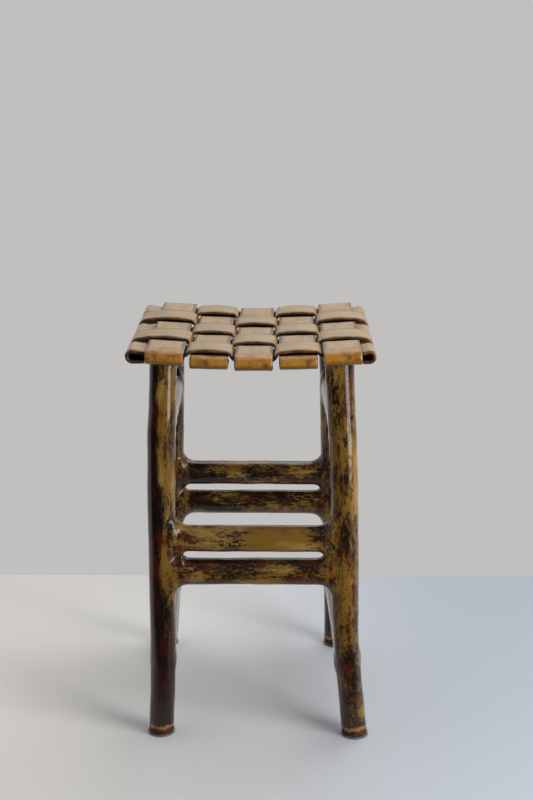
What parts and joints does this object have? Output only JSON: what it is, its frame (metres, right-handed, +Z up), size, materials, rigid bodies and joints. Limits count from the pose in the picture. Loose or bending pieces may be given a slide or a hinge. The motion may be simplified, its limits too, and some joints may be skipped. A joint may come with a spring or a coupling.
{
  "type": "ceramic stool",
  "caption": "Glazed ceramic stool with a seat woven from flat clay straps, rolled strap ends, round legs and round rails.",
  "frame": {"origin": "bottom centre of the whole stool's bounding box, on the floor under the feet", "axes": "+Z up, +X to the right as seen from the front, the front faces -Y"},
  "size_m": [0.274, 0.275, 0.4497],
  "materials": {
    "strap_glaze": "satin greige glaze breaking to ochre and rust brown at the edges",
    "leg_glaze": "glossy runny ochre glaze with dark brown, blue-grey and oxblood streaks",
    "clear_pad": "clear soft plastic"
  },
  "bodies": {
    "root": {"column_strap_1": "strap_glaze", "column_strap_2": "strap_glaze", "column_strap_3": "strap_glaze", "column_strap_4": "strap_glaze", "column_strap_5": "strap_glaze", "row_strap_1": "strap_glaze", "row_strap_2": "strap_glaze", "row_strap_3": "strap_glaze", "row_strap_4": "strap_glaze", "row_strap_5": "strap_glaze", "leg_front_left": "leg_glaze", "leg_front_right": "leg_glaze", "leg_rear_left": "leg_glaze", "leg_rear_right": "leg_glaze", "front_upper_rail": "leg_glaze", "front_lower_rail": "leg_glaze", "rear_upper_rail": "leg_glaze", "rear_lower_rail": "leg_glaze", "left_upper_rail": "leg_glaze", "left_lower_rail": "leg_glaze", "right_upper_rail": "leg_glaze", "right_lower_rail": "leg_glaze", "foot_pad_front_left": "clear_pad", "foot_pad_front_right": "clear_pad", "foot_pad_rear_left": "clear_pad", "foot_pad_rear_right": "clear_pad"}
  },
  "joints": []
}
